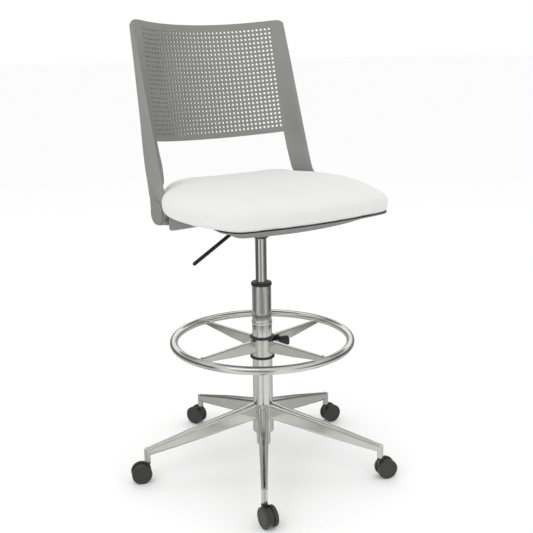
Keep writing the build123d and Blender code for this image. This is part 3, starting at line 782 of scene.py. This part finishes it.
def rim_radius():
    """Distance of the seat shell's rim from its middle, as a function of the direction."""
    c, s = math.cos(SEAT_TILT), math.sin(SEAT_TILT)
    samples = []
    for v in frame["nodes"]["seat_shell"].data.vertices:
        p = v.co / MM
        dy, dz = p.y - SEAT_REF.y, p.z - SEAT_REF.z
        y, z = dy * c + dz * s, -dy * s + dz * c
        if abs(z) < 0.2 and (abs(y - 73) > 60 or abs(p.x) < 190):
            samples.append((math.atan2(y, p.x), math.hypot(p.x, y)))
    bins = {}
    for angle, r in samples:
        key = round(math.degrees(angle) / 1.0)
        bins[key] = max(bins.get(key, (0, 0)), (r, angle))
    ordered = sorted((angle, r) for r, angle in bins.values() if r > 150)
    return ordered


def seat_outline_radius(angle, table):
    """Linear interpolation of the rim's distance at one direction."""
    previous = (table[-1][0] - math.tau, table[-1][1])
    for entry in table + [(table[0][0] + math.tau, table[0][1])]:
        if angle <= entry[0]:
            share = (angle - previous[0]) / max(1e-9, entry[0] - previous[0])
            return previous[1] + share * (entry[1] - previous[1])
        previous = entry
    return previous[1]


def build_cushion():
    mesh = bmesh.new()
    table = rim_radius()
    around = 120
    directions = [-math.pi + math.tau * k / around for k in range(around)]
    reach = [seat_outline_radius(a, table) for a in directions]
    levels = [                            # inset from the widest outline, share of the middle, height
        (10.5, 0.30, 0.6), (10.5, 0.90, 0.6), (10.5, 1.0, 0.6), (8.2, 1.0, 3.5), (5.8, 1.0, 8.0),
        (3.6, 1.0, 14.0), (2.4, 1.0, 20.0), (2.6, 1.0, 27.0), (5.6, 1.0, 34.5), (11.5, 1.0, 41.0),
        (20.0, 1.0, 46.0), (32.0, 1.0, 50.5), (46.0, 1.0, 54.0), (46.0, 0.86, 56.6), (46.0, 0.7, 58.2),
        (46.0, 0.5, 59.3), (46.0, 0.25, 59.9),
    ]
    rings = []
    for inset, share, height in levels:
        ring = []
        for a, r in zip(directions, reach):
            out = share * (r + RIM_INSET - inset)
            p = seat_to_row(out * math.cos(a), out * math.sin(a), height)
            ring.append(mesh.verts.new(p * MM))
        rings.append(ring)
    for lower, upper in zip(rings, rings[1:]):
        for a in range(around):
            b = (a + 1) % around
            mesh.faces.new((lower[a], lower[b], upper[b], upper[a]))
    mesh.faces.new(rings[0])
    mesh.faces.new(rings[-1])
    return new_object("seat_cushion_cover", mesh)


VOXEL = 5.0 * MM
CLOTH_PRESSURE = 4.0
CLOTH_FRAMES = 20
SWELL_CAP = 4.0 * MM                     # how far the simulation may move a point
HELD_H = 5.0                             # the cover is tacked to the board below this height


def to_seat_height(co):
    """Height of a point over the seat shell's rim, in millimetres."""
    c, s = math.cos(SEAT_TILT), math.sin(SEAT_TILT)
    return -(co.y / MM - SEAT_REF.y) * s + (co.z / MM - SEAT_REF.z) * c


def swell(piece):
    """Lets the cover swell under the foam's pressure, with its lower edge held, and keeps the result."""
    remesh = piece.modifiers.new("even", "REMESH")
    remesh.mode = "VOXEL"
    remesh.voxel_size = VOXEL
    apply_modifiers(piece)
    start = [v.co.copy() for v in piece.data.vertices]
    held = piece.vertex_groups.new(name="held")
    held.add([v.index for v in piece.data.vertices if to_seat_height(v.co) < HELD_H], 1.0, "REPLACE")
    cloth = piece.modifiers.new("cloth", "CLOTH")
    cloth.settings.quality = 5
    cloth.settings.mass = 0.3
    cloth.settings.tension_stiffness = 15
    cloth.settings.compression_stiffness = 15
    cloth.settings.bending_stiffness = 2
    cloth.settings.use_pressure = True
    cloth.settings.uniform_pressure_force = CLOTH_PRESSURE
    cloth.settings.vertex_group_mass = "held"
    cloth.settings.effector_weights.gravity = 0
    cloth.collision_settings.use_collision = False
    cloth.point_cache.frame_start = 1
    cloth.point_cache.frame_end = CLOTH_FRAMES
    scene = bpy.context.scene
    for number in range(1, CLOTH_FRAMES + 1):
        scene.frame_set(number)
    graph = bpy.context.evaluated_depsgraph_get()
    settled = bpy.data.meshes.new_from_object(piece.evaluated_get(graph))
    piece.modifiers.clear()
    scene.frame_set(1)
    for vertex, before in zip(settled.vertices, start):
        move = vertex.co - before
        if move.length > SWELL_CAP:
            vertex.co = before + move * (SWELL_CAP / move.length)
    piece.data = settled
    piece.vertex_groups.clear()
    even = piece.modifiers.new("even", "CORRECTIVE_SMOOTH")
    even.iterations = 6
    even.use_only_smooth = True
    finer = piece.modifiers.new("finer", "SUBSURF")
    finer.levels = 1
    finer.render_levels = 1
    apply_modifiers(piece)


def make_cushion():
    cushion = build_cushion()
    swell(cushion)
    smooth(cushion, math.radians(60))
    cushion.data.materials.append(slot_materials["seat_fabric"])
    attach(cushion, "seat")
    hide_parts("seat_cushion")


# ---- scene ----------------------------------------------------------------------------------------------
bpy.context.scene.view_settings.view_transform = "Standard"
add_camera()
add_world()
add_floor()
add_tent()
add_area_light("key_light", (-2.2, -1.2, 2.6), (0, 0, 0.7), (2.0, 2.0), 15)
add_area_light("fill_light", (1.8, -2.6, 1.8), (0, 0, 0.6), (2.4, 2.0), 4)
add_area_light("top_light", (0.2, 0.4, 3.2), (0, 0, 0.6), (2.6, 2.6), 9)
dress_cad_nodes()
make_back()
make_cushion()
